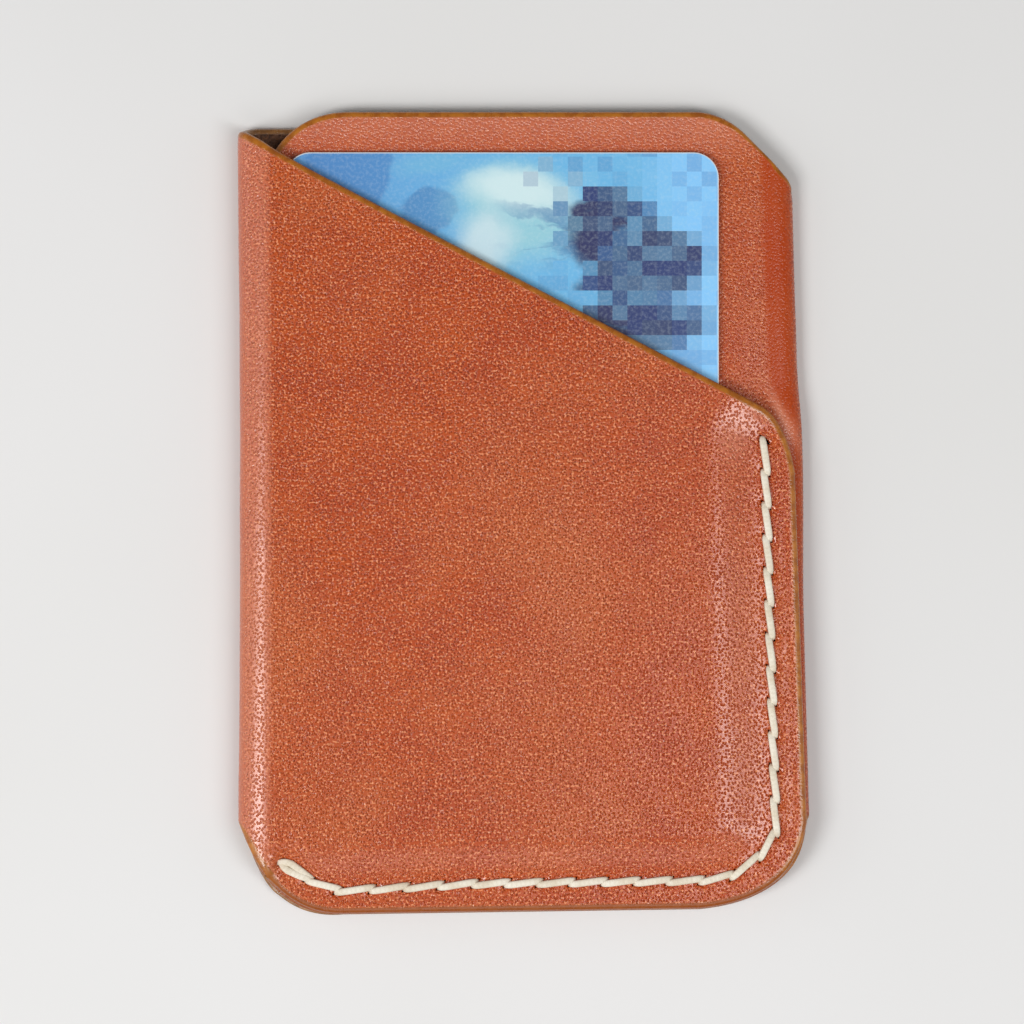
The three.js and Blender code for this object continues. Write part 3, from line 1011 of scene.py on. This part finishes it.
def leather_material():
    n = Nodes("tan_leather")
    place = n.add("Attribute", attribute_name="blank").outputs["Vector"]
    from_edge = n.attribute("from_edge")
    grain_side = n.attribute("grain_side")
    pull = n.attribute("pull")
    kept = n.math("SUBTRACT", 1.0, n.attribute("rubbed"))

    # grain: small pits scattered over a smooth face; wells are their walls, pits their centres
    pebbled = n.warp(place, 900.0, 0.0003)
    pebble = n.voronoi(pebbled, 2450.0)
    fine = n.noise(place, 5200.0, 2.0, 0.6)
    follicle = n.voronoi(pebbled, 700.0)
    wells = n.math("MULTIPLY", n.ramp(pebble, 0.44, 0.1), kept)
    pits = n.math("MULTIPLY", n.ramp(pebble, 0.28, 0.08), kept)
    pores = n.ramp(follicle, 0.14, 0.04)

    # colour: cloudy dye, mottling, pits darkened with painted shade, pale specks as painted glints,
    # painted shade deepening the right fold, and painted highlight at the folds and the seam slope
    cloud = n.noise(place, 34.0, 3.0, 0.5, 0.3)
    mottle = n.noise(place, 150.0, 5.0, 0.62)
    deep = srgb(174, 61, 2)
    bright = srgb(186, 73, 5)
    pale = srgb(194, 94, 32)
    grain = n.mix(n.ramp(mottle, 0.3, 0.7), deep, bright)
    grain = n.mix(n.ramp(cloud, 0.42, 0.72, 0.0, 0.45), grain, pale)
    depth = n.ramp(n.noise(place, 260.0, 2.0, 0.5), 0.3, 0.7, 0.45, 0.85)
    # painted shade: the pit centres are darkened as if shadowed
    grain = n.mix(n.math("MULTIPLY", pits, depth), grain, srgb(108, 30, 2))
    # painted glints: pale specks scattered over the grain, as if the pebbles caught the light
    painted_glints = n.ramp(n.noise(place, 3300.0, 1.0, 0.5), 0.57, 0.645, 0.0, 0.72)
    grain = n.mix(n.math("MULTIPLY", painted_glints, kept), grain, srgb(246, 157, 106))
    bent = n.attribute("bent")
    # painted shade: a deeper orange on the right fold's outer bend, standing in for its missing
    # sheen
    grain = n.mix(n.math("MULTIPLY", bent, 0.6), grain, srgb(170, 54, 2))
    # painted highlight and sheen: a pale pinkish colour where the folds, the seam slope and the
    # middle's top strip would reflect the lights
    grain = n.mix(n.math("MULTIPLY", n.attribute("painted_sheen"), 0.34), grain, srgb(228, 148, 118))
    grain = n.mix(n.math("MULTIPLY", pores, 0.25), grain, srgb(110, 42, 16))
    grain = n.mix(n.ramp(pull, 0.05, 0.16, 0.0, 0.45), grain, srgb(96, 40, 20))

    # burnished edge: golden brown, darker towards the flesh side and along the bottom
    streak = n.noise(place, 700.0, 3.0, 0.6)
    gold = n.mix(n.ramp(streak, 0.3, 0.7), srgb(152, 80, 8), srgb(184, 110, 16))
    umber = n.mix(n.ramp(streak, 0.3, 0.7), srgb(126, 80, 32), srgb(158, 106, 46))
    height = n.add("SeparateXYZ", {"Vector": place}).outputs[1]
    gold = n.mix(n.ramp(height, -43 * MM, -47 * MM, 0.0, 0.8), gold, srgb(146, 68, 14))
    burnish = n.mix(n.ramp(grain_side, -0.8, 0.55), umber, gold)
    # painted highlight: a thin light line where the burnish ends and the bevel would catch the
    # light, a little wavy
    painted_bevel_highlight = n.math("MULTIPLY", n.ramp(from_edge, 0.62, 0.74), n.ramp(from_edge, 0.98, 0.84))
    grain = n.mix(n.math("MULTIPLY", painted_bevel_highlight, 0.12), grain, srgb(214, 158, 104))
    is_edge = n.ramp(n.math("ADD", from_edge, n.math("MULTIPLY", streak, 0.16)), 0.86, 0.7)

    # flesh side: dark brown nap
    nap = n.noise(place, 1500.0, 5.0, 0.75, 0.6)
    flesh = n.mix(n.ramp(nap, 0.35, 0.65), srgb(60, 34, 22), srgb(120, 78, 52))
    is_grain = n.ramp(grain_side, -0.2, 0.2)
    sheet = n.mix(is_grain, flesh, grain)
    colour = n.mix(is_edge, sheet, burnish)

    # relief, as a share of the bump's depth
    grain_height = n.math("ADD", n.math("MULTIPLY", wells, -1.0), n.math("MULTIPLY", fine, 0.1))
    grain_height = n.math("SUBTRACT", grain_height, n.math("MULTIPLY", pores, 0.3))
    relief = n.math("MULTIPLY", grain_height, n.ramp(is_edge, 0.0, 1.0, 1.0, 0.12))
    relief = n.math("ADD", n.math("MULTIPLY", relief, is_grain),
                    n.math("MULTIPLY", nap, n.math("SUBTRACT", 1.0, is_grain)))
    bumped = n.bump(relief, 0.07 * MM)

    # glossy on the flat of the grain, dull in the pits and on the flesh side
    grain_rough = n.math("ADD", n.ramp(cloud, 0.35, 0.7, 0.22, 0.26), n.math("MULTIPLY", pits, 0.2))
    rough = n.blend(is_grain, 0.92, grain_rough)
    rough = n.blend(is_edge, rough, n.ramp(streak, 0.3, 0.7, 0.22, 0.34))
    gloss = n.blend(n.math("MULTIPLY", pits, n.math("SUBTRACT", 1.0, is_edge)), 0.8, 0.1)
    gloss = n.math("MULTIPLY", gloss, n.ramp(bent, 0.0, 1.0, 1.0, 0.5))
    return n.surface(Base_Color=colour, Roughness=rough, Normal=bumped, IOR=1.5,
                     Specular_IOR_Level=gloss)


def thread_material():
    n = Nodes("waxed_thread")
    place = n.add("TexCoord").outputs["Object"]
    along, around = n.attribute("along"), n.attribute("around")

    def plies(turns):
        """A set of plies that winds round the thread."""
        round_it = n.math("MULTIPLY", around, turns * 2 * math.pi)
        return n.math("SINE", n.math("ADD", n.math("MULTIPLY", along, 11.0), round_it))

    braid = n.math("MAXIMUM", plies(2), plies(-2))
    fibres = n.noise(place, 6000.0, 3.0, 0.7)
    stain = n.noise(place, 380.0, 3.0, 0.6)
    colour = n.mix(n.ramp(stain, 0.35, 0.7), srgb(238, 230, 212), srgb(222, 208, 184))
    colour = n.mix(n.ramp(braid, 0.6, -0.2, 0.0, 0.12), colour, srgb(176, 150, 118))
    height = n.math("ADD", n.math("MULTIPLY", braid, 0.15), n.math("MULTIPLY", fibres, 0.5))
    return n.surface(Base_Color=colour, Roughness=0.5, Normal=n.bump(height, 0.03 * MM))


def card_material():
    """An abstract print: soft blue on the left, a pale cloud, and square cells on the right."""
    n = Nodes("printed_card")
    place = n.vector("MULTIPLY", n.add("TexCoord").outputs["Object"], (1.0, 1.0, 0.0))
    cell = 1.85 * MM  # side of the square cells
    cells = n.vector("SNAP", place, (cell, cell, 1.0))
    random = n.add("TexWhiteNoise", {"Vector": cells}, noise_dimensions="2D").outputs["Value"]
    across = n.add("SeparateXYZ", {"Vector": cells}).outputs[0]
    celled = n.math("GREATER_THAN", n.ramp(across, -2 * MM, 12 * MM, smooth=False), random)
    soft = n.warp(n.warp(place, 60.0, 0.008), 700.0, 0.0012)
    picture = n.mix(celled, soft, cells)

    def patch(x, y, wide, tall, softness=0.3):
        """1 inside a round patch at x, y (mm), fading out at its rim."""
        away = n.vector("SUBTRACT", picture, (x * MM, y * MM, 0.0))
        scaled = n.vector("MULTIPLY", away, (1 / (wide * MM), 1 / (tall * MM), 0.0))
        return n.ramp(n.vector("LENGTH", scaled, (0, 0, 0), "Value"), 1.0, softness)

    def paint(colour, share, mask, tint):
        return n.mix(n.math("MULTIPLY", mask, share), colour, tint)

    axis = n.add("SeparateXYZ", {"Vector": picture}).outputs[0]
    colour = n.mix(n.ramp(axis, -30 * MM, 2 * MM), srgb(92, 154, 212), srgb(108, 184, 230))
    colour = n.mix(n.ramp(axis, 12 * MM, 20 * MM), colour, srgb(134, 202, 252))
    colour = paint(colour, 0.5, patch(-21, 43, 6, 5, 0.85), srgb(58, 112, 180))
    colour = paint(colour, 0.5, patch(-12, 37.5, 3.4, 3.2, 0.8), srgb(52, 106, 168))
    colour = paint(colour, 0.6, patch(-11, 44, 6, 2.4), srgb(116, 186, 222))
    colour = paint(colour, 1.0, patch(-1, 37, 11.5, 8.5, 0.35), srgb(150, 206, 220))
    colour = paint(colour, 0.9, patch(-1, 39.5, 9, 4, 0.3), srgb(214, 238, 240))
    colour = paint(colour, 0.8, patch(-5, 33, 5.5, 5, 0.2), srgb(208, 230, 236))
    smear = n.noise(n.vector("MULTIPLY", picture, (0.25, 1.0, 0.0)), 420.0, 3.0, 0.6, 0.4)
    smeared = n.math("MULTIPLY", patch(4, 35, 10, 6, 0.2), n.ramp(smear, 0.48, 0.62))
    colour = paint(colour, 0.7, smeared, srgb(70, 124, 176))
    navy = patch(11, 34, 7.4, 5, 0.6)
    for place_and_size in (
        (16.5, 30.5, 6.6, 4.8),
        (12, 28.2, 7, 3.4),
        (14, 23, 10, 4.2),
        (9, 38.5, 4.6, 2),
    ):
        navy = n.math("MAXIMUM", navy, patch(*place_and_size, 0.6))
    navy = n.math("MULTIPLY", navy, n.ramp(smear, 0.3, 0.5, 0.65, 1.0))
    colour = paint(colour, 0.97, navy, srgb(40, 38, 88))
    tinted = n.math("MULTIPLY", n.math("ABSOLUTE", n.math("SUBTRACT", random, 0.5)), celled)
    lighter = n.mix(n.math("GREATER_THAN", random, 0.5), srgb(40, 84, 160), srgb(140, 206, 246))
    colour = paint(colour, 0.62, tinted, lighter)
    speckle = n.noise(place, 2400.0, 2.0, 0.6)
    colour = n.mix(n.ramp(speckle, 0.4, 0.75, 0.0, 0.12), colour, srgb(226, 240, 246))
    colour = n.mix(n.attribute("rim"), colour, srgb(238, 240, 242))
    dust = n.noise(place, 3000.0, 3.0, 0.6)
    return n.surface(Base_Color=colour, Roughness=n.ramp(dust, 0.3, 0.7, 0.3, 0.4),
                     Normal=n.bump(dust, 0.004 * MM))


def floor_material():
    n = Nodes("pale_floor")
    place = n.add("TexCoord").outputs["Object"]
    soft = n.noise(place, 9.0, 2.0)
    colour = n.mix(n.ramp(soft, 0.3, 0.7), srgb(226, 225, 223), srgb(230, 229, 228))
    return n.surface(Base_Color=colour, Roughness=0.8)


# ---------------------------------------------------------------- camera, light, floor


def make_camera():
    """Straight above the holder, a little to the left of its middle."""
    height = 560 * MM
    seen_width = 127.05 * MM  # at the height of the front
    data = bpy.data.cameras.new("camera")
    data.sensor_width = 36
    data.lens = data.sensor_width * (height - HEIGHT * MM) / seen_width
    data.clip_start = 0.01
    data.clip_end = 10
    camera = bpy.data.objects.new("camera", data)
    camera.location = (-1.4 * MM, 0.2 * MM, height)
    bpy.context.collection.objects.link(camera)
    bpy.context.scene.camera = camera


def softbox(name, place, size, power):
    """A white area light that faces the holder."""
    data = bpy.data.lights.new(name, "AREA")
    data.shape = "RECTANGLE"
    data.size, data.size_y = size
    data.energy = power
    lamp = bpy.data.objects.new(name, data)
    lamp.location = place
    lamp.rotation_mode = "QUATERNION"
    lamp.rotation_quaternion = (-Vector(place)).to_track_quat("-Z", "Y")
    bpy.context.collection.objects.link(lamp)


def make_light():
    softbox("left_softbox", (-0.36, -0.14, 0.57), (0.20, 0.32), 2.3)
    softbox("right_softbox", (0.28, -0.16, 0.60), (0.18, 0.46), 1.7)
    softbox("front_softbox", (0.0, -0.42, 0.50), (0.5, 0.2), 0.35)
    softbox("left_wall", (-0.70, 0.0, 0.30), (0.9, 0.4), 1.1)
    softbox("right_wall", (0.70, 0.0, 0.30), (0.9, 0.4), 0.5)
    world = bpy.data.worlds.new("studio")
    world.use_nodes = True
    background = world.node_tree.nodes["Background"]
    background.inputs[0].default_value = (0.97, 0.98, 1.0, 1)
    background.inputs[1].default_value = 0.18
    bpy.context.scene.world = world
    bpy.context.scene.view_settings.view_transform = "Standard"


def make_floor():
    half = 1.5
    corners = [(-half, -half, 0), (half, -half, 0), (half, half, 0), (-half, half, 0)]
    mesh = bpy.data.meshes.new("floor")
    mesh.from_pydata(corners, [], [(0, 1, 2, 3)])
    floor = bpy.data.objects.new("floor", mesh)
    mesh.materials.append(floor_material())
    bpy.context.collection.objects.link(floor)


# ---------------------------------------------------------------- the scene

make_camera()
make_light()
make_floor()

leather_body = make_leather()
leather_body.data.materials.append(leather_material())
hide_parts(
    "front_panel", "front_side_border", "front_bottom_border", "left_fold_front", "left_fold_back",
    "back_panel", "back_side_border", "back_bottom_border", "right_fold", "middle_panel",
)
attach(leather_body, "holder")

saddle_stitch = make_thread()
saddle_stitch.data.materials.append(thread_material())
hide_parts("sewing_thread")
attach(saddle_stitch, "holder")

bank_card = make_card()
bank_card.data.materials.append(card_material())
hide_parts("card")
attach(bank_card, "card")
